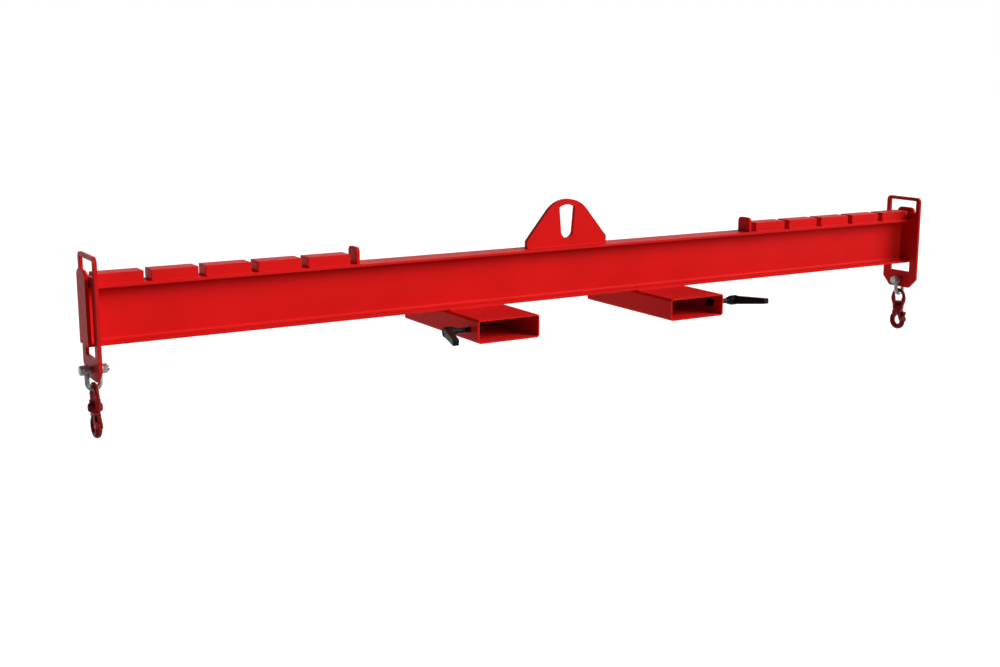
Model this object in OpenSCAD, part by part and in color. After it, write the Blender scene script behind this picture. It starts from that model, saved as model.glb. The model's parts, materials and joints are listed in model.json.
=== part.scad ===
// Adjustable spreader beam for a crane hook or fork truck: a rolled I-beam with a central lifting
// lug, two fork pockets with clamping screws, and two hangers that drop into notches along the top
// flange. Each hanger carries a D-shackle and a swivel self-locking hook.
// X runs along the beam, -Y is the side of the clamping screws, +Z is up.
// The origin is the crown of the slot in the lifting lug, where the crane hook bears.

/* [Beam] */
// Height of the rolled section
beam_h = 160; // [140:10:200]
// Flange width
flange_w = 82; // [73:1:100]
// Flange thickness
flange_t = 7.4; // [6.9:0.1:8.5]
// Web thickness
web_t = 5; // [4.7:0.1:5.6]
// Root radius between web and flange
root_r = 9; // [7:1:12]
// Distance between the two outermost hanger positions
working_w = 3000; // [2400:300:3000]

/* [Notches] */
// Spacing of the hanger positions
pitch = 150; // [120:10:150]
// Locating blocks on each half of the beam
blocks = 5; // [3:1:5]
// Width of a notch
notch_w = 20; // [18:1:24]
// Width of a locating block across the beam
block_w = 59; // [50:1:70]
// Height of a locating block
block_h = 30; // [25:1:32]
// Height of the inner stop
stop_h = 48; // [40:1:60]
// Thickness of the inner stops and of the end plates
stop_t = 10; // [8:1:12]
// Rise of an end plate above the top flange
end_rise = 41; // [35:1:50]

/* [Lifting lug] */
// Length of the lug's foot on the flange
lug_w = 298; // [260:1:320]
// Thickness of the lug
lug_t = 15; // [12:1:25]
// Radius of the lug's top arc
lug_r = 96; // [85:1:105]
// Height of the arc's centre above the flange
lug_arc_z = 52; // [45:1:60]
// Slope of the lug's sides from the horizontal
lug_slope = 50; // [45:1:55]
// Height of the slot's lowest point above the flange
slot_foot = 25; // [20:1:30]
// Height of the slot's crown above the flange
slot_crown = 131; // [120:1:134]
// Radius of the slot's narrow foot
slot_foot_r = 23; // [18:1:25]
// Half width of the slot at its shoulders
slot_half_w = 30; // [26:1:34]
// Drop from the slot's crown to its shoulders
slot_dome = 8.5; // [6:0.5:14]

/* [Fork pockets] */
// Distance between the centres of the two pockets
pocket_gap = 700; // [600:10:900]
// Outside width of a pocket
pocket_w = 210; // [160:5:220]
// Outside height of a pocket
pocket_h = 70; // [60:5:90]
// Wall of a pocket
pocket_wall = 5; // [4:1:6]
// Length of a pocket across the beam
pocket_len = 464; // [400:2:500]
// Outside corner radius of a pocket
pocket_r = 9; // [7:1:12]
// Distance of the clamping screw behind the pocket's front end
clamp_inset = 51; // [40:1:60]

/* [Clamping screws] */
// Diameter of the stud
stud_d = 16; // [12:2:16]
// Length of the stud from the lever's hub to the pad's face
stud_len = 84; // [80:1:100]
// Stud showing outside the wall of the left pocket
stud_out_left = 43; // [42:1:55]
// Stud showing outside the wall of the right pocket
stud_out_right = 56; // [42:1:56]
// Hub diameter of the clamping lever
hub_d = 31; // [28:1:34]
// Length of the hub
hub_len = 41; // [38:1:48]
// Reach of the lever from the stud's axis to its end
lever_reach = 118; // [90:1:120]
// Outward tilt of the lever's arm
lever_tilt = 17; // [10:1:25]
// Turn of the left lever below the horizontal
lever_turn_left = 3.5; // [-30:0.5:30]
// Turn of the right lever below the horizontal
lever_turn_right = -5; // [-30:0.5:30]

/* [Hangers] */
// Overall width of a hanger plate
hanger_w = 158; // [150:1:170]
// Thickness of a hanger plate
hanger_t = 10; // [8:1:12]
// Top of the handle above the top flange
handle_rise = 80; // [76:1:90]
// Width of the handle's side bars
handle_side = 17; // [12:1:20]
// Height of the handle's top bar
handle_top = 12; // [10:1:16]
// Height of the cross-bar that lies in the notch
crossbar_h = 25; // [20:1:28]
// Width of the window around the beam
window_w = 92; // [90:1:100]
// Gap between the window's foot and the beam's underside
lift_gap = 35; // [33:1:45]
// Height of the hanger's foot under the window
foot_h = 60; // [55:1:70]
// Corner cut at the foot
foot_cut = 33; // [25:1:36]
// Height of the bolt hole above the foot's lower edge
hole_rise = 26.9; // [24:0.1:30]

/* [Shackles] */
// Diameter of the shackle's bolt
bolt_d = 16; // [12:2:16]
// Thickness of the bow
bow_d = 13; // [10:1:13]
// Inside width of the shackle
jaw = 22; // [20:1:24]
// Inside length from the bolt's axis to the crown
shackle_len = 46; // [42:1:52]
// Hexagon size of the bolt's head and nut
hex_af = 24; // [18:1:24]

/* [Swivel hooks] */
// Thickness of the swivel eye
eye_t = 12; // [10:1:12]
// Outside width of the swivel eye
eye_w = 64; // [56:1:66]
// Height from the eye's inside crown to the collar's lower face
eye_len = 68; // [66:1:76]
// Diameter of the collar
collar_d = 40; // [36:1:42]
// Diameter of the swivel shank
shank_d = 16; // [12:2:16]
// Inside radius of the hook's bowl
bowl_r = 15; // [13:1:17]
// Thickness of the hook
hook_t = 19; // [16:1:20]

/* [Hidden] */

$fn = 64;
LEFT = -1;
RIGHT = 1;
FIT = 0.06;
AF_TO_RADIUS = 1 / cos(30);

underside = -(beam_h + slot_crown);
half_w = working_w / 2;
first_notch = half_w - blocks * pitch;
end_x = half_w + notch_w / 2;

lug_foot_x = lug_w / 2;
lug_side_h = lug_arc_z + (lug_r - lug_foot_x * sin(lug_slope)) / cos(lug_slope);
slot_shoulder = slot_crown - slot_dome;
slot_dome_r = (slot_half_w * slot_half_w + slot_dome * slot_dome) / (2 * slot_dome);
slot_foot_z = slot_foot + slot_foot_r;

clamp_y = -pocket_len / 2 + clamp_inset;
clamp_z = -pocket_h / 2;
wall_x = (pocket_gap + pocket_w) / 2;
stud_hole_d = stud_d + 1;
nut_t = 13;
pad_d = 18;
pad_t = 8;
tip_d = 9;
tip_len = 6;
neck_len = 3;
neck_d = 19;
hub_cone = 15;
web_x = 22;
web_x2 = 26;
screw_d = 6;
screw_head_d = 11;
screw_head_t = 5;
screw_x = 35;
screw_depth = 10;
spring_bore_d = 14;
arm_root_h = 27;
arm_tip_h = 17.5;
arm_root_t = 20;
arm_tip_t = 20;

hanger_foot_z = -lift_gap - foot_h;
hole_d = bolt_d + 2;
hole_z = hanger_foot_z + hole_rise;
bolt_z = hole_z - (hole_d - bolt_d) / 2 + 0.1;
ear_r = 14;
crown_z = bolt_z - shackle_len;
bow_r = (jaw + bow_d) / 2;
head_t = 12;
hex_nut_t = 12;
bolt_end = 17;
cotter_d = 3.2;
cotter_x = jaw / 2 + bow_d + hex_nut_t + 2.6;
cotter_len = 32;

eye_pivot_z = crown_z + eye_t / 2 + 0.3;
eye_arc_r = (eye_w - eye_t) / 2;
eye_arc_z = eye_pivot_z - eye_arc_r;
collar_z = crown_z - eye_len;
collar_edge = 3.5;
yoke_z = collar_z + 25;
swivel_nut_t = 7;
swivel_nut_d = 30;

bowl_z = collar_z - 40;
ring_r = bowl_r + hook_t / 2;
outer_r = bowl_r + hook_t;
apex = [3.2, 27.5];
neck_w = 35;
neck_z = 25;
nose_arc = 78;
cheek_t = 5;
slot_w = hook_t - 2 * cheek_t;
slot_y = -12.4;
bridge_z = [14.2, 18.2];
slot_top = 33;
tongue_t = slot_w - 0.8;
pivot = [-ring_r - 1, 5];
pin_d = 8;
cheek_r = 9.5;
trigger_pivot = [-17.5, 25];
trigger_pin_d = 4;
tip_gap = 0.5;

// Children keep their heights above the beam's underside
module from_underside() {
    translate([0, 0, underside]) children();
}

// A flat outline in Y and Z, given a thickness along X and centred on x
module across(x, t) {
    translate([x - t / 2, 0, 0]) rotate([90, 0, 90]) linear_extrude(t) children();
}

// A cylinder along X that starts at x
module rod_x(x, len, d) {
    translate([x, 0, 0]) rotate([0, 90, 0]) cylinder(h = len, d = d);
}

// A hexagon prism along X with two corners up and down
module hex_x(x, len) {
    translate([x, 0, 0]) rotate([0, 90, 0]) cylinder(h = len, r = hex_af / 2 * AF_TO_RADIUS, $fn = 6);
}

// A centred rectangle with round corners
module round_rect(w, h, r) {
    square([w - 2 * r, h], center = true);
    square([w, h - 2 * r], center = true);
    for (x = [-1, 1], y = [-1, 1]) translate([x * (w / 2 - r), y * (h / 2 - r)]) circle(r);
}

// A rectangle that stands on y = 0, with its two upper corners rounded
module arch_rect(w, h, r) {
    translate([-w / 2, 0]) square([w, h - r]);
    translate([-w / 2 + r, 0]) square([w - 2 * r, h]);
    for (x = [-1, 1]) translate([x * (w / 2 - r), h - r]) circle(r);
}

// ---------------------------------------------------------------- beam

// The concave fillet between the web and a flange, in the quadrant +Y +Z
module root_fillet() {
    difference() {
        square(root_r);
        translate([root_r, root_r]) circle(root_r);
    }
}

module beam_section() {
    translate([-flange_w / 2, 0]) square([flange_w, flange_t]);
    translate([-flange_w / 2, beam_h - flange_t]) square([flange_w, flange_t]);
    translate([-web_t / 2, 0]) square([web_t, beam_h]);
    for (s = [0, 1]) {
        mirror([s, 0]) translate([web_t / 2, flange_t]) root_fillet();
        mirror([s, 0]) translate([web_t / 2, beam_h - flange_t]) mirror([0, 1]) root_fillet();
    }
}

module main_beam() {
    color("red") from_underside() across(0, 2 * end_x) beam_section();
}

module end_plate(side) {
    color("red") from_underside()
        across(side * (end_x + stop_t / 2), stop_t) arch_rect(flange_w, beam_h + end_rise, 22);
}

module inner_stop(side) {
    stop_x = first_notch - (notch_w + stop_t) / 2;
    color("red") from_underside() translate([0, 0, beam_h])
        across(side * stop_x, stop_t) arch_rect(block_w, stop_h, 14);
}

module locating_blocks(side) {
    block_len = pitch - notch_w;
    color("red") from_underside() translate([0, 0, beam_h])
        for (k = [0 : blocks - 1])
            translate([side * (first_notch + (k + 0.5) * pitch), 0, block_h / 2])
                cube([block_len, block_w, block_h], center = true);
}

// ---------------------------------------------------------------- lifting lug

module lug_outline() {
    shoulder = [lug_r * sin(lug_slope), lug_arc_z + lug_r * cos(lug_slope)];
    polygon([
        [-lug_foot_x, 0], [lug_foot_x, 0], [lug_foot_x, lug_side_h], shoulder,
        [-shoulder.x, shoulder.y], [-lug_foot_x, lug_side_h]
    ]);
    intersection() {
        translate([0, lug_arc_z]) circle(lug_r, $fn = 128);
        translate([-lug_r, 0]) square([2 * lug_r, lug_arc_z + lug_r]);
    }
}

module slot_outline() {
    translate([0, slot_foot_z]) circle(slot_foot_r);
    polygon([
        [-slot_foot_r, slot_foot_z], [slot_foot_r, slot_foot_z],
        [slot_half_w, slot_shoulder], [-slot_half_w, slot_shoulder]
    ]);
    intersection() {
        translate([0, slot_crown - slot_dome_r]) circle(slot_dome_r, $fn = 128);
        translate([-slot_half_w, slot_shoulder - 0.01]) square([2 * slot_half_w, 2 * slot_dome]);
    }
}

module lifting_lug() {
    color("red") translate([0, 0, -slot_crown]) rotate([90, 0, 0])
        linear_extrude(lug_t, center = true)
            difference() {
                lug_outline();
                slot_outline();
            }
}

// ---------------------------------------------------------------- fork pockets

module fork_pocket(side) {
    color("red") from_underside() difference() {
        translate([side * pocket_gap / 2, 0, clamp_z]) rotate([90, 0, 0])
            linear_extrude(pocket_len, center = true)
                difference() {
                    round_rect(pocket_w, pocket_h, pocket_r);
                    round_rect(pocket_w - 2 * pocket_wall, pocket_h - 2 * pocket_wall,
                               pocket_r - pocket_wall);
                }
        clamp_place(side) rod_x(-2 * pocket_wall, 3 * pocket_wall, stud_hole_d);
    }
}

// On the clamping screw's axis, with x = 0 on the pocket's outer wall and +X pointing outwards
module clamp_place(side) {
    mirror([side < 0 ? 1 : 0, 0, 0]) translate([wall_x, clamp_y, clamp_z]) children();
}

module weld_nut(side) {
    color("#303338") from_underside() clamp_place(side) difference() {
        hex_x(-pocket_wall - nut_t, nut_t);
        rod_x(-pocket_wall - nut_t - 1, nut_t + 2, stud_d + 2 * FIT);
    }
}

// On the clamping screw's axis, with x = 0 at the foot of the lever's hub
module hub_place(side) {
    from_underside() clamp_place(side)
        translate([side < 0 ? stud_out_left : stud_out_right, 0, 0]) children();
}

// The pad swivels on the stud's turned tip
module clamp_pad(side) {
    color("#202224") hub_place(side) difference() {
        rod_x(-stud_len, pad_t, pad_d);
        rod_x(-stud_len + pad_t - tip_len, tip_len + 1, tip_d + 2 * FIT);
    }
}

// The stud is one piece with the toothed insert that the lever's hub engages
module clamp_stud(side) {
    color("#303338") hub_place(side) difference() {
        union() {
            rod_x(-stud_len + pad_t - tip_len + 0.3, tip_len + 1, tip_d);
            rod_x(-stud_len + pad_t + 0.3, stud_len - pad_t - 0.3, stud_d);
            rod_x(0, web_x - 0.4, neck_d);
        }
        rod_x(screw_depth, web_x, screw_d);
    }
}

module lever_screw(side) {
    color("#8a8d90") hub_place(side) difference() {
        union() {
            rod_x(screw_depth, screw_x - screw_depth, screw_d);
            rod_x(screw_x, screw_head_t, screw_head_d);
        }
        rod_x(screw_x + 2, screw_head_t, 5 * AF_TO_RADIUS, $fn = 6);
    }
}

// Side view of the arm, from the stud's axis towards its end
module arm_side() {
    polygon([
        [0, -arm_root_h / 2], [lever_reach, -arm_tip_h / 2],
        [lever_reach, arm_tip_h / 2], [0, arm_root_h / 2]
    ]);
}

// Plan view of the arm: u runs along the arm's reach, v runs outwards along the stud
module arm_plan() {
    rise = lever_reach * tan(lever_tilt);
    polygon([
        [0, hub_len - arm_root_t], [lever_reach, hub_len - arm_root_t + rise],
        [lever_reach, hub_len - arm_root_t + arm_tip_t + rise], [0, hub_len]
    ]);
}

module lever_arm() {
    intersection() {
        rotate([90, 0, 90]) mirror([1, 0, 0]) linear_extrude(2 * lever_reach) arm_side();
        translate([0, 0, -arm_root_h]) rotate([0, 0, -90]) linear_extrude(2 * arm_root_h) arm_plan();
    }
}

module lever_handle(side) {
    turn = side < 0 ? lever_turn_left : lever_turn_right;
    color("#17191b") hub_place(side) rotate([turn, 0, 0]) difference() {
        union() {
            translate([neck_len, 0, 0]) rotate([0, 90, 0])
                cylinder(h = hub_cone, d1 = neck_d + 3, d2 = hub_d);
            rod_x(neck_len + hub_cone, hub_len - neck_len - hub_cone, hub_d);
            lever_arm();
        }
        rod_x(0, web_x, neck_d + 2 * FIT);
        rod_x(web_x - 1, 6, screw_d + 2 * FIT);
        rod_x(web_x2, hub_len, spring_bore_d);
    }
}

// ---------------------------------------------------------------- hangers

module hanger_outline() {
    top = beam_h + handle_rise;
    half = hanger_w / 2;
    difference() {
        union() {
            polygon([
                [-half + foot_cut, hanger_foot_z], [half - foot_cut, hanger_foot_z],
                [half, hanger_foot_z + foot_cut], [half, beam_h],
                [-half, beam_h], [-half, hanger_foot_z + foot_cut]
            ]);
            translate([0, beam_h]) arch_rect(hanger_w, handle_rise, 16);
        }
        translate([-window_w / 2, -lift_gap]) square([window_w, beam_h + lift_gap]);
        translate([0, beam_h + crossbar_h])
            arch_rect(hanger_w - 2 * handle_side, handle_rise - crossbar_h - handle_top, 4);
        translate([0, hole_z]) circle(d = hole_d);
    }
}

module hanger_plate(side) {
    color("#c81a18") from_underside() across(side * half_w, hanger_t) hanger_outline();
}

// ---------------------------------------------------------------- shackles

// On the centre line of a hanger, with heights above the beam's underside
module hung(side) {
    from_underside() translate([side * half_w, 0, 0]) children();
}

module shackle_bow(side) {
    leg_x = jaw / 2;
    arc_z = crown_z + leg_x;
    color("#8d9090") hung(side) difference() {
        union() {
            for (s = [-1, 1]) {
                translate([s * bow_r, 0, arc_z]) cylinder(h = bolt_z - arc_z, d = bow_d);
                translate([0, 0, bolt_z]) rod_x(s > 0 ? leg_x : -leg_x - bow_d, bow_d, 2 * ear_r);
            }
            translate([0, 0, arc_z]) rotate([-90, 0, 0])
                rotate_extrude(angle = 180) translate([bow_r, 0]) circle(d = bow_d);
        }
        translate([0, 0, bolt_z]) rod_x(-2 * jaw, 4 * jaw, bolt_d + 0.1);
    }
}

module shackle_bolt(side) {
    ear_x = jaw / 2 + bow_d;
    color("#85888a") hung(side) translate([0, 0, bolt_z]) difference() {
        union() {
            hex_x(-ear_x - head_t, head_t);
            rod_x(-ear_x, 2 * ear_x + bolt_end, bolt_d);
        }
        translate([cotter_x, 0, 0]) rotate([90, 0, 0])
            cylinder(h = 2 * bolt_d, d = cotter_d + 0.4, center = true);
    }
}

module shackle_nut(side) {
    color("#85888a") hung(side) translate([0, 0, bolt_z]) difference() {
        hex_x(jaw / 2 + bow_d, hex_nut_t);
        rod_x(jaw / 2, 2 * jaw, bolt_d + FIT);
    }
}

// A split pin along Y with a round eye at its back end
module cotter_pin(side) {
    eye_r = 3.6;
    color("#9a9c9c") hung(side) translate([cotter_x, 0, bolt_z]) {
        rotate([90, 0, 0]) cylinder(h = cotter_len, d = cotter_d, center = true);
        translate([0, cotter_len / 2 + eye_r - 1, 0]) rotate([90, 0, 90])
            rotate_extrude() translate([eye_r - cotter_d / 4, 0]) circle(d = cotter_d / 2);
    }
}

// ---------------------------------------------------------------- swivel hooks

// The eye's legs, which draw in towards the collar
module eye_legs() {
    half = eye_w / 2;
    inner = half - eye_t;
    difference() {
        polygon([
            [-half, eye_arc_z], [half, eye_arc_z], [half - 2, yoke_z + 8],
            [collar_d / 2, yoke_z - 14], [-collar_d / 2, yoke_z - 14], [2 - half, yoke_z + 8]
        ]);
        polygon([[-inner, eye_arc_z], [inner, eye_arc_z], [inner - 3, yoke_z], [3 - inner, yoke_z]]);
    }
}

// A forged ring of round section over two legs and a barrel-shaped collar
module swivel_eye(side) {
    barrel_h = yoke_z - collar_z - 3 * collar_edge;
    color("#6b1414") hung(side) difference() {
        union() {
            translate([0, 0, eye_arc_z]) rotate([90, 0, 90])
                rotate_extrude(angle = 180) translate([eye_arc_r, 0]) circle(d = eye_t);
            across(0, eye_t) eye_legs();
            translate([0, 0, collar_z])
                cylinder(h = collar_edge, d1 = collar_d - 2 * collar_edge, d2 = collar_d);
            translate([0, 0, collar_z + collar_edge]) cylinder(h = barrel_h, d = collar_d);
            translate([0, 0, collar_z + collar_edge + barrel_h])
                cylinder(h = 2 * collar_edge, d1 = collar_d, d2 = collar_d - 3 * collar_edge);
        }
        translate([0, 0, collar_z - 1]) cylinder(h = 40, d = shank_d + 2 * FIT);
    }
}

module swivel_nut(side) {
    color("#571010") hung(side) translate([0, 0, yoke_z + 0.3]) difference() {
        cylinder(h = swivel_nut_t, d = swivel_nut_d);
        translate([0, 0, -1]) cylinder(h = swivel_nut_t, d = shank_d + FIT);
    }
}

// Opening of the closed hook: a round bowl that runs up to a point
module hook_opening() {
    side = bowl_r * [cos(26), sin(26)];
    circle(bowl_r);
    polygon([[-side.x, side.y], side, apex, [-apex.x, apex.y]]);
    translate([0, apex.y]) circle(apex.x);
}

// Flat part of the hook's upper half: the spine with its two cheeks, and the neck
module spine_outline() {
    top = collar_z - bowl_z - 0.3;
    intersection() {
        circle(outer_r);
        translate([-outer_r, 0]) square(outer_r);
    }
    polygon([[-neck_w / 2 - 5, neck_z], [0, apex.y - 6], [neck_w / 2 + 4, neck_z],
             [neck_w / 2, top], [-neck_w / 2, top]]);
    translate(pivot) circle(cheek_r);
}

// The slot between the cheeks, with a bridge that parts the jaw's tongue from the trigger
module cheek_slots() {
    depth = 2 * outer_r + slot_y;
    translate([-2 * outer_r, -outer_r]) square([depth, outer_r + bridge_z.x]);
    translate([-2 * outer_r, bridge_z.y]) square([depth, slot_top - bridge_z.y]);
}

module hook_body(side) {
    color("#6b1414") hung(side) {
        translate([0, 0, bowl_z]) difference() {
            union() {
                across(0, hook_t) spine_outline();
                rotate([90, 0, 90])
                    rotate_extrude(angle = nose_arc) translate([ring_r, 0]) circle(d = hook_t);
            }
            across(0, 2 * hook_t) hook_opening();
            across(0, slot_w) cheek_slots();
            translate([0, pivot.x, pivot.y]) rod_x(-hook_t, 2 * hook_t, pin_d);
            translate([0, trigger_pivot.x, trigger_pivot.y])
                rod_x(-hook_t, 2 * hook_t, trigger_pin_d);
        }
        translate([0, 0, collar_z - 0.3]) cylinder(h = yoke_z - collar_z + 5, d = shank_d);
    }
}

// Lower half of the hook: the bowl, its tip and the tongue that hinges between the cheeks
module hook_jaw(side) {
    color("#5d1212") hung(side) translate([0, 0, bowl_z]) difference() {
        union() {
            intersection() {
                rotate([90, 0, 90]) rotate_extrude() translate([ring_r, 0]) circle(d = hook_t);
                translate([-hook_t, -2 * outer_r, -2 * outer_r])
                    cube([2 * hook_t, 4 * outer_r, 2 * outer_r - tip_gap]);
                difference() {
                    cube(6 * outer_r, center = true);
                    translate([0, pivot.x, pivot.y]) rod_x(-hook_t, 2 * hook_t, 2 * cheek_r + 1);
                }
            }
            across(0, tongue_t) {
                intersection() {
                    difference() {
                        circle(outer_r);
                        circle(bowl_r);
                    }
                    translate([-outer_r, -outer_r]) square([outer_r / 2, outer_r + pivot.y]);
                }
                translate(pivot) circle(cheek_r - 1);
            }
        }
        translate([0, pivot.x, pivot.y]) rod_x(-hook_t, 2 * hook_t, pin_d + 2 * FIT);
    }
}

module jaw_pin(side) {
    color("#4a4c4e") hung(side) translate([0, pivot.x, bowl_z + pivot.y])
        rod_x(-hook_t / 2, hook_t, pin_d);
}

// The trigger's thumb tab stands out of the spine
module hook_trigger(side) {
    color("#571010") hung(side) translate([0, 0, bowl_z]) difference() {
        across(0, tongue_t) {
            translate(trigger_pivot) circle(4.5);
            polygon([[-17.5, 29.5], [-27, 35], [-34, 35], [-36.5, 32],
                     [-36.5, 22.5], [-33, 20], [-27, 22.5], [-17.5, 20.5]]);
        }
        translate([0, trigger_pivot.x, trigger_pivot.y])
            rod_x(-hook_t, 2 * hook_t, trigger_pin_d + 2 * FIT);
    }
}

module trigger_pin(side) {
    color("#4a4c4e") hung(side) translate([0, trigger_pivot.x, bowl_z + trigger_pivot.y])
        rod_x(-hook_t / 2, hook_t, trigger_pin_d);
}

main_beam();
end_plate(LEFT);  // end_plate_left
end_plate(RIGHT);  // end_plate_right
lifting_lug();
locating_blocks(LEFT);  // locating_blocks_left
locating_blocks(RIGHT);  // locating_blocks_right
inner_stop(LEFT);  // inner_stop_left
inner_stop(RIGHT);  // inner_stop_right
fork_pocket(LEFT);  // fork_pocket_left
fork_pocket(RIGHT);  // fork_pocket_right
weld_nut(LEFT);  // weld_nut_left
weld_nut(RIGHT);  // weld_nut_right
clamp_pad(LEFT);  // clamp_pad_left
clamp_pad(RIGHT);  // clamp_pad_right
clamp_stud(LEFT);  // clamp_stud_left
clamp_stud(RIGHT);  // clamp_stud_right
lever_screw(LEFT);  // lever_screw_left
lever_screw(RIGHT);  // lever_screw_right
lever_handle(LEFT);  // lever_handle_left
lever_handle(RIGHT);  // lever_handle_right
hanger_plate(LEFT);  // hanger_plate_left
hanger_plate(RIGHT);  // hanger_plate_right
shackle_bow(LEFT);  // shackle_bow_left
shackle_bow(RIGHT);  // shackle_bow_right
shackle_bolt(LEFT);  // shackle_bolt_left
shackle_bolt(RIGHT);  // shackle_bolt_right
shackle_nut(LEFT);  // shackle_nut_left
shackle_nut(RIGHT);  // shackle_nut_right
cotter_pin(LEFT);  // cotter_pin_left
cotter_pin(RIGHT);  // cotter_pin_right
swivel_eye(LEFT);  // swivel_eye_left
swivel_eye(RIGHT);  // swivel_eye_right
swivel_nut(LEFT);  // swivel_nut_left
swivel_nut(RIGHT);  // swivel_nut_right
hook_body(LEFT);  // hook_body_left
hook_body(RIGHT);  // hook_body_right
hook_jaw(LEFT);  // hook_jaw_left
hook_jaw(RIGHT);  // hook_jaw_right
jaw_pin(LEFT);  // jaw_pin_left
jaw_pin(RIGHT);  // jaw_pin_right
hook_trigger(LEFT);  // hook_trigger_left
hook_trigger(RIGHT);  // hook_trigger_right
trigger_pin(LEFT);  // trigger_pin_left
trigger_pin(RIGHT);  // trigger_pin_right
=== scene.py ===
"""Looks for the spreader beam: softened steel edges, weld beads, forged hooks and procedural finishes.

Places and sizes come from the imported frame, in metres. X runs along the beam, -Y is the side of the
clamping screws and +Z is up.
"""

import json
from math import cos, pi, radians, sin

import bmesh
import bpy
from mathutils import Matrix, Vector


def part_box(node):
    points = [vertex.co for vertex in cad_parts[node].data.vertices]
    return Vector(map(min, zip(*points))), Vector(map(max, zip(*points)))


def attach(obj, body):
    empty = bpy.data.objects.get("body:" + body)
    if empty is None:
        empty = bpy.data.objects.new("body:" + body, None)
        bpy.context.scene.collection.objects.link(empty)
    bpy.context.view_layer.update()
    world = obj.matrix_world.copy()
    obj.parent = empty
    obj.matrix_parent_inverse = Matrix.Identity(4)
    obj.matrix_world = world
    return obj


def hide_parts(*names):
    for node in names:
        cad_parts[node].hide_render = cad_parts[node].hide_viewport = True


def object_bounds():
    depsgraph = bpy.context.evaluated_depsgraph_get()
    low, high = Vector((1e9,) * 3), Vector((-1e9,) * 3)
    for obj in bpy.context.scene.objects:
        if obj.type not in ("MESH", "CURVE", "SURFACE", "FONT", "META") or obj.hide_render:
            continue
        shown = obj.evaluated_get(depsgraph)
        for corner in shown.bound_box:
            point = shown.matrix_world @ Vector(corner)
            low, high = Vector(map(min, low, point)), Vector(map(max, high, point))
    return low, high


SIDES = ("left", "right")
MM = 0.001

# Sizes of the steel that no node's box gives
PITCH = 150 * MM
NOTCH = 20 * MM
WEB = 5 * MM
FLANGE_AND_ROOT = 16 * MM
POCKET_CORNER = 9 * MM

# Weld beads: radius, spacing of the ripples' rings, shrink at the ends, directions round a ring
BEAD = 3.5 * MM
SMALL_BEAD = 2.8 * MM
BEAD_STEP = 2 * MM
BEAD_TIP = 0.4
BEAD_TURNS = [2 * pi * k / 10 for k in range(10)]

# How far edges are rounded
SMALL_EDGE = 0.5 * MM
NUT_EDGE = 0.6 * MM
TUBE_EDGE = 0.8 * MM
PLATE_EDGE = 1.2 * MM
LUG_EDGE = 1.5 * MM
BLOCK_EDGE = 1.6 * MM
FORGED_VOXEL = 0.8 * MM
FORGED_PASSES = 12
CAST_VOXEL = 0.9 * MM
CAST_PASSES = 14

# Studio
FLOOR_DROP = 1.3
FLOOR_SIDE = 120.0
FLOOR_GLOW = 0.75
DIM = (0.07, 0.07, 0.07)
WHITE = (1.0, 1.0, 1.0)
VIEW_YAW = radians(30.95)
VIEW_PITCH = radians(11.32)
VIEW_ROLL = radians(0.09)

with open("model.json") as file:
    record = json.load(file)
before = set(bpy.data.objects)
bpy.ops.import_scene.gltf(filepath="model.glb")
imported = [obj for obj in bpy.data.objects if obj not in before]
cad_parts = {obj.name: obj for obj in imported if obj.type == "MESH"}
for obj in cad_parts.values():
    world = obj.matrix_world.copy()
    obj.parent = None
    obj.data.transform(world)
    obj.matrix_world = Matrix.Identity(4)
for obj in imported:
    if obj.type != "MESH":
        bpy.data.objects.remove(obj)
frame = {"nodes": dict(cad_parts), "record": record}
cad_low, cad_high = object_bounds()

# ------------------------------------------------------------------ material building blocks


def new_material(name):
    """A node material; returns it with its tree and its Principled shader."""
    mat = bpy.data.materials.new(name)
    mat.use_nodes = True
    tree = mat.node_tree
    return mat, tree, tree.nodes["Principled BSDF"]


def noise(tree, scale, detail=3.0, rough=0.5, stretch=(1, 1, 1)):
    """Noise over the object's own coordinates, in metres."""
    place = tree.nodes.new("ShaderNodeTexCoord")
    mapping = tree.nodes.new("ShaderNodeMapping")
    mapping.inputs["Scale"].default_value = stretch
    tex = tree.nodes.new("ShaderNodeTexNoise")
    tex.inputs["Scale"].default_value = scale
    tex.inputs["Detail"].default_value = detail
    tex.inputs["Roughness"].default_value = rough
    tree.links.new(place.outputs["Object"], mapping.inputs["Vector"])
    tree.links.new(mapping.outputs["Vector"], tex.inputs["Vector"])
    return tex.outputs["Fac"]


def ramp(tree, value, low, high, to_low=0.0, to_high=1.0):
    """Maps value from low..high to to_low..to_high, clamped."""
    node = tree.nodes.new("ShaderNodeMapRange")
    node.inputs["From Min"].default_value = low
    node.inputs["From Max"].default_value = high
    node.inputs["To Min"].default_value = to_low
    node.inputs["To Max"].default_value = to_high
    tree.links.new(value, node.inputs["Value"])
    return node.outputs["Result"]


def mixed(tree, factor, first, second):
    """Mixes two colours, each a tuple or a socket."""
    node = tree.nodes.new("ShaderNodeMix")
    node.data_type = "RGBA"
    tree.links.new(factor, node.inputs["Factor"])
    for key, colour in (("A", first), ("B", second)):
        socket = [s for s in node.inputs if s.name == key and s.type == "RGBA"][0]
        if isinstance(colour, tuple):
            socket.default_value = (*colour, 1.0)
        else:
            tree.links.new(colour, socket)
    return [s for s in node.outputs if s.type == "RGBA"][0]


def combined(tree, operation, first, second):
    """A math node over two sockets, such as MULTIPLY or MAXIMUM."""
    node = tree.nodes.new("ShaderNodeMath")
    node.operation = operation
    tree.links.new(first, node.inputs[0])
    tree.links.new(second, node.inputs[1])
    return node.outputs[0]


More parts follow.
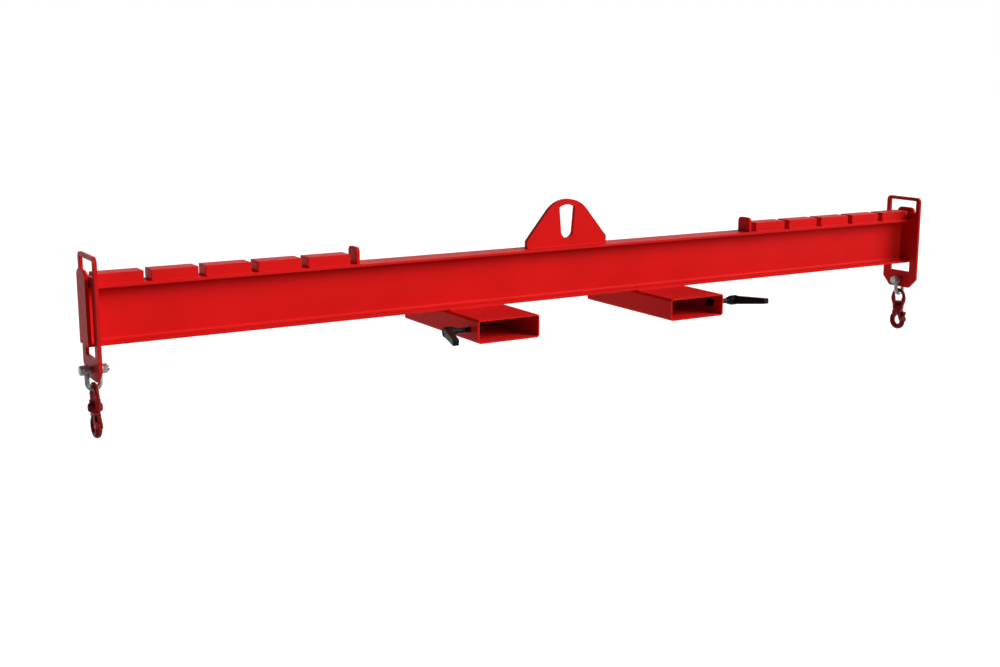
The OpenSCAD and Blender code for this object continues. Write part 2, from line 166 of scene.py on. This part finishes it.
def bumped(tree, shader, heights):
    """Chains bumps; heights is a list of (socket, strength, distance in metres)."""
    last = None
    for height, strength, distance in heights:
        node = tree.nodes.new("ShaderNodeBump")
        node.inputs["Strength"].default_value = strength
        node.inputs["Distance"].default_value = distance
        tree.links.new(height, node.inputs["Height"])
        if last is not None:
            tree.links.new(last, node.inputs["Normal"])
        last = node.outputs["Normal"]
    tree.links.new(last, shader.inputs["Normal"])


def facing_up(tree):
    """How far a surface faces up, 0 to 1."""
    geometry = tree.nodes.new("ShaderNodeNewGeometry")
    split = tree.nodes.new("ShaderNodeSeparateXYZ")
    tree.links.new(geometry.outputs["Normal"], split.inputs["Vector"])
    return ramp(tree, split.outputs["Z"], 0.35, 1.0)


def high_spots(tree):
    """1 along sharp outer edges, 0 on flats."""
    geometry = tree.nodes.new("ShaderNodeNewGeometry")
    return ramp(tree, geometry.outputs["Pointiness"], 0.53, 0.60)


def shade(colour, *factors):
    """The colour times one factor, or times one factor for each channel."""
    if len(factors) == 1:
        factors = factors * 3
    return tuple(part * factor for part, factor in zip(colour, factors))


# ------------------------------------------------------------------ materials


def paint(name, colour, deep, gloss):
    """Powder coat: slight cloudiness, paler specks, a pale brownish tint on upper faces that is partly
    dust and partly painted sheen, and a faint orange peel.
    """
    mat, tree, shader = new_material(name)
    cloud = ramp(tree, noise(tree, 5.0, 4.0, 0.6), 0.35, 0.65)
    base = mixed(tree, cloud, deep, colour)
    speck = ramp(tree, noise(tree, 420.0, 2.0), 0.60, 0.80, 0.0, 0.25)
    base = mixed(tree, speck, base, tuple(part * 1.15 + 0.01 for part in colour))
    # Upper faces tinted pale brown: partly dust, partly a painted sheen that stands in for grazing
    # reflection.
    dust_and_sheen = ramp(tree, noise(tree, 38.0, 6.0, 0.65), 0.40, 0.75, 0.0, 0.03)
    dust_and_sheen = combined(tree, "MULTIPLY", facing_up(tree), dust_and_sheen)
    base = mixed(tree, dust_and_sheen, base, (0.42, 0.33, 0.30))
    tree.links.new(base, shader.inputs["Base Color"])
    rough = ramp(tree, noise(tree, 60.0, 5.0, 0.6), 0.3, 0.7, gloss - 0.05, gloss + 0.09)
    tree.links.new(rough, shader.inputs["Roughness"])
    shader.inputs["Specular IOR Level"].default_value = 0.035
    bumped(tree, shader, [
        (noise(tree, 700.0, 1.0), 0.10, 0.0004),
        (noise(tree, 90.0, 2.0), 0.06, 0.0008),
    ])
    return mat


def zinc(name, grey):
    """Hot-dip galvanising: dull grey with a faint crystal pattern and darker stains."""
    mat, tree, shader = new_material(name)
    place = tree.nodes.new("ShaderNodeTexCoord")
    cells = tree.nodes.new("ShaderNodeTexVoronoi")
    cells.inputs["Scale"].default_value = 260.0
    tree.links.new(place.outputs["Object"], cells.inputs["Vector"])
    split = tree.nodes.new("ShaderNodeSeparateColor")
    tree.links.new(cells.outputs["Color"], split.inputs["Color"])
    light = shade((grey,) * 3, 1.25, 1.28, 1.27)
    dark = shade((grey,) * 3, 0.72, 0.75, 0.75)
    spangle = mixed(tree, split.outputs["Red"], dark, light)
    stain = ramp(tree, noise(tree, 95.0, 5.0, 0.65), 0.50, 0.78, 0.0, 0.55)
    base = mixed(tree, stain, spangle, (0.13, 0.13, 0.125))
    tree.links.new(base, shader.inputs["Base Color"])
    rough = ramp(tree, split.outputs["Green"], 0.0, 1.0, 0.38, 0.58)
    tree.links.new(rough, shader.inputs["Roughness"])
    shader.inputs["Metallic"].default_value = 0.85
    bumped(tree, shader, [(noise(tree, 320.0, 4.0, 0.6), 0.25, 0.0006)])
    return mat


def forged(name, colour, deep):
    """Enamel over a forged skin, worn a little on its high spots."""
    mat, tree, shader = new_material(name)
    cloud = ramp(tree, noise(tree, 70.0, 5.0, 0.6), 0.3, 0.7)
    base = mixed(tree, cloud, deep, colour)
    wear = ramp(tree, noise(tree, 260.0, 4.0), 0.45, 0.62, 0.0, 0.5)
    wear = combined(tree, "MULTIPLY", high_spots(tree), wear)
    base = mixed(tree, wear, base, (0.13, 0.08, 0.075))
    tree.links.new(base, shader.inputs["Base Color"])
    rough = ramp(tree, noise(tree, 150.0, 4.0), 0.3, 0.7, 0.34, 0.52)
    tree.links.new(rough, shader.inputs["Roughness"])
    shader.inputs["Specular IOR Level"].default_value = 0.06
    bumped(tree, shader, [
        (noise(tree, 130.0, 3.0, 0.55), 0.30, 0.0012),
        (noise(tree, 900.0, 2.0), 0.12, 0.0004),
    ])
    return mat


def coated_black(name, colour, gloss, grain):
    """Fine-textured black coat or moulded black plastic."""
    mat, tree, shader = new_material(name)
    speck = ramp(tree, noise(tree, 1100.0, 2.0), 0.35, 0.70)
    base = mixed(tree, speck, shade(colour, 0.6), colour)
    tree.links.new(base, shader.inputs["Base Color"])
    rough = ramp(tree, noise(tree, 90.0, 4.0), 0.3, 0.7, gloss - 0.06, gloss + 0.08)
    tree.links.new(rough, shader.inputs["Roughness"])
    shader.inputs["Specular IOR Level"].default_value = 0.10
    bumped(tree, shader, [(noise(tree, 1300.0, 2.0), grain, 0.0004)])
    return mat


def turned(name, grey):
    """Machined steel with fine circular marks."""
    mat, tree, shader = new_material(name)
    marks = noise(tree, 160.0, 3.0, 0.6, stretch=(30.0, 1.0, 1.0))
    light = shade((grey,) * 3, 1.2, 1.2, 1.22)
    dark = shade((grey,) * 3, 0.75, 0.75, 0.76)
    base = mixed(tree, ramp(tree, marks, 0.3, 0.7), dark, light)
    tree.links.new(base, shader.inputs["Base Color"])
    tree.links.new(ramp(tree, marks, 0.3, 0.7, 0.28, 0.44), shader.inputs["Roughness"])
    shader.inputs["Metallic"].default_value = 0.9
    bumped(tree, shader, [(marks, 0.15, 0.0002)])
    return mat


MATERIALS = {
    "beam_red": paint("beam_red", (0.67, 0.0088, 0.0084), (0.61, 0.0078, 0.0074), 0.42),
    "hanger_red": paint("hanger_red", (0.56, 0.011, 0.010), (0.46, 0.009, 0.009), 0.38),
    "hook_red": forged("hook_red", (0.23, 0.009, 0.010), (0.15, 0.006, 0.007)),
    "galvanised_steel": zinc("galvanised_steel", 0.42),
    "pin_steel": turned("pin_steel", 0.12),
    "black_lever": coated_black("black_lever", (0.0045, 0.0048, 0.0052), 0.50, 0.35),
    "blackened_steel": coated_black("blackened_steel", (0.010, 0.012, 0.013), 0.38, 0.10),
    "pad_plastic": coated_black("pad_plastic", (0.014, 0.014, 0.015), 0.55, 0.25),
}
SLOT_OF = {part["node"]: part["material_slot"] for part in frame["record"]["subparts"]}
BODY_OF = {
    node: body
    for body, members in frame["record"]["behaviour"]["bodies"].items()
    for node in members
}

# ------------------------------------------------------------------ mesh building blocks


def link(name, mesh):
    obj = bpy.data.objects.new(name, mesh)
    bpy.context.scene.collection.objects.link(obj)
    return obj


def finish_piece(obj, body, slot_name, *nodes):
    """Gives a new object the material of its record slot, parents it to its body and hides the CAD
    nodes it stands for.
    """
    obj.data.materials.clear()
    obj.data.materials.append(MATERIALS[slot_name])
    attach(obj, body)
    if nodes:
        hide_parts(*nodes)
    return obj


def mesh_object(name, bm, smooth_angle):
    """Turns a bmesh into an object with smooth faces and sharp edges above the angle."""
    bmesh.ops.recalc_face_normals(bm, faces=bm.faces)
    mesh = bpy.data.meshes.new(name)
    bm.to_mesh(mesh)
    bm.free()
    mesh.shade_smooth()
    mesh.set_sharp_from_angle(angle=radians(smooth_angle))
    return link(name, mesh)


def node_bmesh(node):
    """The CAD node's mesh with shared corners and its flat faces in one piece."""
    bm = bmesh.new()
    bm.from_mesh(frame["nodes"][node].data)
    bmesh.ops.remove_doubles(bm, verts=bm.verts, dist=2e-6)
    bmesh.ops.dissolve_limit(bm, angle_limit=radians(0.4), verts=bm.verts, edges=bm.edges)
    return bm


def softened(node, width, segments=3):
    """A copy of a CAD node whose sharp edges are rounded to width."""
    bm = node_bmesh(node)
    sharp = [
        e for e in bm.edges
        if len(e.link_faces) == 2 and e.calc_face_angle(0.0) > radians(32)
    ]
    bmesh.ops.bevel(
        bm, geom=sharp, offset=width, offset_type="OFFSET", segments=segments,
        profile=0.5, affect="EDGES", clamp_overlap=True,
    )
    obj = mesh_object("steel_" + node, bm, smooth_angle=50)
    weighted = obj.modifiers.new("even_shading", "WEIGHTED_NORMAL")
    weighted.keep_sharp = True
    weighted.weight = 100
    return finish_piece(obj, BODY_OF[node], SLOT_OF[node], node)


def blended(prefix, node, voxel, passes):
    """A copy of a CAD node with its edges and corners run together, as on a forging or a casting."""
    draft = mesh_object("draft_" + node, node_bmesh(node), smooth_angle=38)
    remesh = draft.modifiers.new("voxels", "REMESH")
    remesh.mode = "VOXEL"
    remesh.voxel_size = voxel
    remesh.use_smooth_shade = True
    smooth = draft.modifiers.new("smooth", "SMOOTH")
    smooth.factor = 0.5
    smooth.iterations = passes
    depsgraph = bpy.context.evaluated_depsgraph_get()
    mesh = bpy.data.meshes.new_from_object(draft.evaluated_get(depsgraph))
    draft_mesh = draft.data
    bpy.data.objects.remove(draft)
    bpy.data.meshes.remove(draft_mesh)
    mesh.name = prefix + node
    mesh.shade_smooth()
    return finish_piece(link(prefix + node, mesh), BODY_OF[node], SLOT_OF[node], node)


def add_bead(bm, start, end, radius):
    """A rippled rod along an inside corner, most of it buried in the two plates."""
    start, end = Vector(start), Vector(end)
    along = (end - start).normalized()
    side = along.orthogonal().normalized()
    up = along.cross(side)
    count = max(2, round((end - start).length / BEAD_STEP))
    rings = []
    for i in range(count + 1):
        ripple = 1.0 + 0.09 * sin(2.1 * i) + 0.07 * sin(0.37 * i)
        size = radius * (BEAD_TIP if i in (0, count) else ripple)
        centre = start.lerp(end, i / count)
        rings.append([
            bm.verts.new(centre + (side * cos(turn) + up * sin(turn)) * size)
            for turn in BEAD_TURNS
        ])
    for near, far in zip(rings, rings[1:]):
        for k in range(len(near)):
            bm.faces.new((near[k], near[k - 1], far[k - 1], far[k]))
    bm.faces.new(rings[0])
    bm.faces.new(rings[-1])


def weld(name, lines, radius=BEAD):
    """One piece with a bead along each (start, end) line, painted with the beam."""
    bm = bmesh.new()
    for start, end in lines:
        add_bead(bm, start, end, radius)
    return finish_piece(mesh_object("weld_" + name, bm, smooth_angle=70), "beam", "beam_red")


def foot_lines(low, high, z):
    """Lines along the front and back foot of a box."""
    return [((low.x, y, z), (high.x, y, z)) for y in (low.y, high.y)]


# ------------------------------------------------------------------ the welded beam


def main_beam():
    softened("main_beam", PLATE_EDGE, segments=2)


def lifting_lug(flange_top):
    low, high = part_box("lifting_lug")
    weld("lug", foot_lines(low, high, flange_top))
    softened("lifting_lug", LUG_EDGE)


def locating_blocks(side, flange_top):
    """The beads leave the notches clear."""
    low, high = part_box("locating_blocks_" + side)
    count = round((high.x - low.x + NOTCH) / PITCH)
    lines = []
    for k in range(count):
        near = Vector((low.x + k * PITCH, low.y, flange_top))
        far = Vector((near.x + PITCH - NOTCH, high.y, flange_top))
        lines += foot_lines(near, far, flange_top)
    weld("blocks_" + side, lines, SMALL_BEAD)
    softened("locating_blocks_" + side, BLOCK_EDGE)


def inner_stop(side, flange_top):
    """The bead is only on the face towards the lug, clear of the notch."""
    low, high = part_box("inner_stop_" + side)
    x = high.x if side == "left" else low.x
    weld("stop_" + side, [((x, low.y + BEAD, flange_top), (x, high.y - BEAD, flange_top))])
    softened("inner_stop_" + side, PLATE_EDGE)


def fork_pocket(side, beam_low, beam_high):
    """The beads follow the edges of the lower flange, on the flat of the pocket's top."""
    low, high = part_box("fork_pocket_" + side)
    near = Vector((low.x + POCKET_CORNER, beam_low.y, high.z))
    far = Vector((high.x - POCKET_CORNER, beam_high.y, high.z))
    weld("pocket_" + side, foot_lines(near, far, high.z))
    softened("fork_pocket_" + side, TUBE_EDGE, segments=2)


def end_plate(side, beam_low, beam_high):
    """The beads stand in the corners of web and end plate."""
    low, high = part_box("end_plate_" + side)
    x = high.x if side == "left" else low.x
    foot, top = beam_low.z + FLANGE_AND_ROOT, beam_high.z - FLANGE_AND_ROOT
    weld("end_" + side, [((x, y, foot), (x, y, top)) for y in (-WEB / 2, WEB / 2)])
    softened("end_plate_" + side, PLATE_EDGE)


def welded_beam():
    low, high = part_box("main_beam")
    main_beam()
    lifting_lug(high.z)
    for side in SIDES:
        locating_blocks(side, high.z)
        inner_stop(side, high.z)
        fork_pocket(side, low, high)
        end_plate(side, low, high)


# ------------------------------------------------------------------ screws, hangers, shackles and hooks


def small_parts(side, *names):
    for name in names:
        softened(name + "_" + side, SMALL_EDGE, segments=2)


def clamping_screw(side):
    softened("weld_nut_" + side, NUT_EDGE, segments=2)
    blended("cast_", "lever_handle_" + side, CAST_VOXEL, CAST_PASSES)
    small_parts(side, "clamp_pad", "clamp_stud", "lever_screw")


def hanger_plate(side):
    softened("hanger_plate_" + side, PLATE_EDGE)


def shackle(side):
    softened("shackle_bow_" + side, PLATE_EDGE)
    small_parts(side, "shackle_bolt", "shackle_nut", "cotter_pin")


def swivel_hook(side):
    for name in ("swivel_eye_", "hook_body_", "hook_jaw_"):
        blended("forged_", name + side, FORGED_VOXEL, FORGED_PASSES)
    small_parts(side, "swivel_nut", "jaw_pin", "trigger_pin", "hook_trigger")


def dress_cad_nodes():
    """The CAD nodes are all replaced, and they keep the same finishes underneath."""
    for node, obj in frame["nodes"].items():
        obj.data.materials.clear()
        obj.data.materials.append(MATERIALS[SLOT_OF[node]])


# ------------------------------------------------------------------ studio


def ahead(tree, vector):
    """How far a vector points along the photo's line of sight, over the ground."""
    node = tree.nodes.new("ShaderNodeVectorMath")
    node.operation = "DOT_PRODUCT"
    node.inputs[1].default_value = (sin(VIEW_YAW), cos(VIEW_YAW), 0.0)
    tree.links.new(vector, node.inputs[0])
    return node.outputs["Value"]


def seen_directly(tree, amount):
    """The amount where the picture shows a surface itself, 0 where the surface only lights another."""
    path = tree.nodes.new("ShaderNodeLightPath")
    return ramp(tree, path.outputs["Is Camera Ray"], 0.0, 1.0, 0.0, amount)


def pale_floor():
    """Evenly pale to the eye; as a light it glows more behind the beam than in front of it."""
    bm = bmesh.new()
    bmesh.ops.create_grid(bm, x_segments=1, y_segments=1, size=FLOOR_SIDE / 2)
    bmesh.ops.translate(bm, verts=bm.verts, vec=(0, 0, cad_low.z - FLOOR_DROP))
    obj = mesh_object("floor", bm, smooth_angle=38)
    mat, tree, shader = new_material("pale_floor")
    base = mixed(tree, noise(tree, 0.6, 2.0), (0.50, 0.50, 0.50), (0.54, 0.54, 0.54))
    tree.links.new(base, shader.inputs["Base Color"])
    shader.inputs["Roughness"].default_value = 0.9
    shader.inputs["Specular IOR Level"].default_value = 0.0
    shader.inputs["Emission Color"].default_value = (*WHITE, 1.0)
    place = tree.nodes.new("ShaderNodeTexCoord")
    glow = ramp(tree, ahead(tree, place.outputs["Object"]), -0.8, 0.7, 0.0, FLOOR_GLOW)
    glow = combined(tree, "MAXIMUM", glow, seen_directly(tree, FLOOR_GLOW))
    tree.links.new(glow, shader.inputs["Emission Strength"])
    obj.data.materials.append(mat)


def soft_world():
    """White to the eye; as a light it is white behind the beam and dim on the other sides."""
    world = bpy.data.worlds.new("studio")
    bpy.context.scene.world = world
    world.use_nodes = True
    tree = world.node_tree
    background = tree.nodes["Background"]
    place = tree.nodes.new("ShaderNodeTexCoord")
    level = ramp(tree, ahead(tree, place.outputs["Generated"]), 0.36, 0.90)
    level = combined(tree, "MAXIMUM", level, seen_directly(tree, 1.0))
    tree.links.new(mixed(tree, level, DIM, WHITE), background.inputs["Color"])
    background.inputs["Strength"].default_value = 1.0


def soft_key(azimuth, height, strength, softness):
    """A distant soft light, in degrees; azimuth is measured to the right of the beam's front."""
    light = bpy.data.lights.new("key", "SUN")
    light.energy = strength
    light.angle = radians(softness)
    obj = link("key", light)
    flat = cos(radians(height))
    source = Vector((
        sin(radians(azimuth)) * flat,
        -cos(radians(azimuth)) * flat,
        sin(radians(height)),
    ))
    obj.location = source * 6.0
    obj.rotation_mode = "QUATERNION"
    obj.rotation_quaternion = source.to_track_quat("Z", "Y")


def camera():
    """A 50 mm lens in front of the left half, a little above the beam."""
    data = bpy.data.cameras.new("camera")
    data.lens = 50.03
    data.sensor_width = 36.0
    data.clip_start = 0.05
    data.clip_end = 200.0
    obj = link("camera", data)
    obj.location = (-2.4233, -3.6369, 0.4587)
    yaw = Matrix.Rotation(-VIEW_YAW, 3, "Z")
    pitch = Matrix.Rotation(pi / 2 - VIEW_PITCH, 3, "X")
    roll = Matrix.Rotation(VIEW_ROLL, 3, "Z")
    obj.rotation_mode = "QUATERNION"
    obj.rotation_quaternion = (yaw @ pitch @ roll).to_quaternion()
    bpy.context.scene.camera = obj


welded_beam()
for side in SIDES:
    clamping_screw(side)
    hanger_plate(side)
    shackle(side)
    swivel_hook(side)
dress_cad_nodes()

pale_floor()
soft_world()
soft_key(azimuth=45, height=29, strength=3.8, softness=40)
camera()
bpy.context.scene.view_settings.view_transform = "Standard"
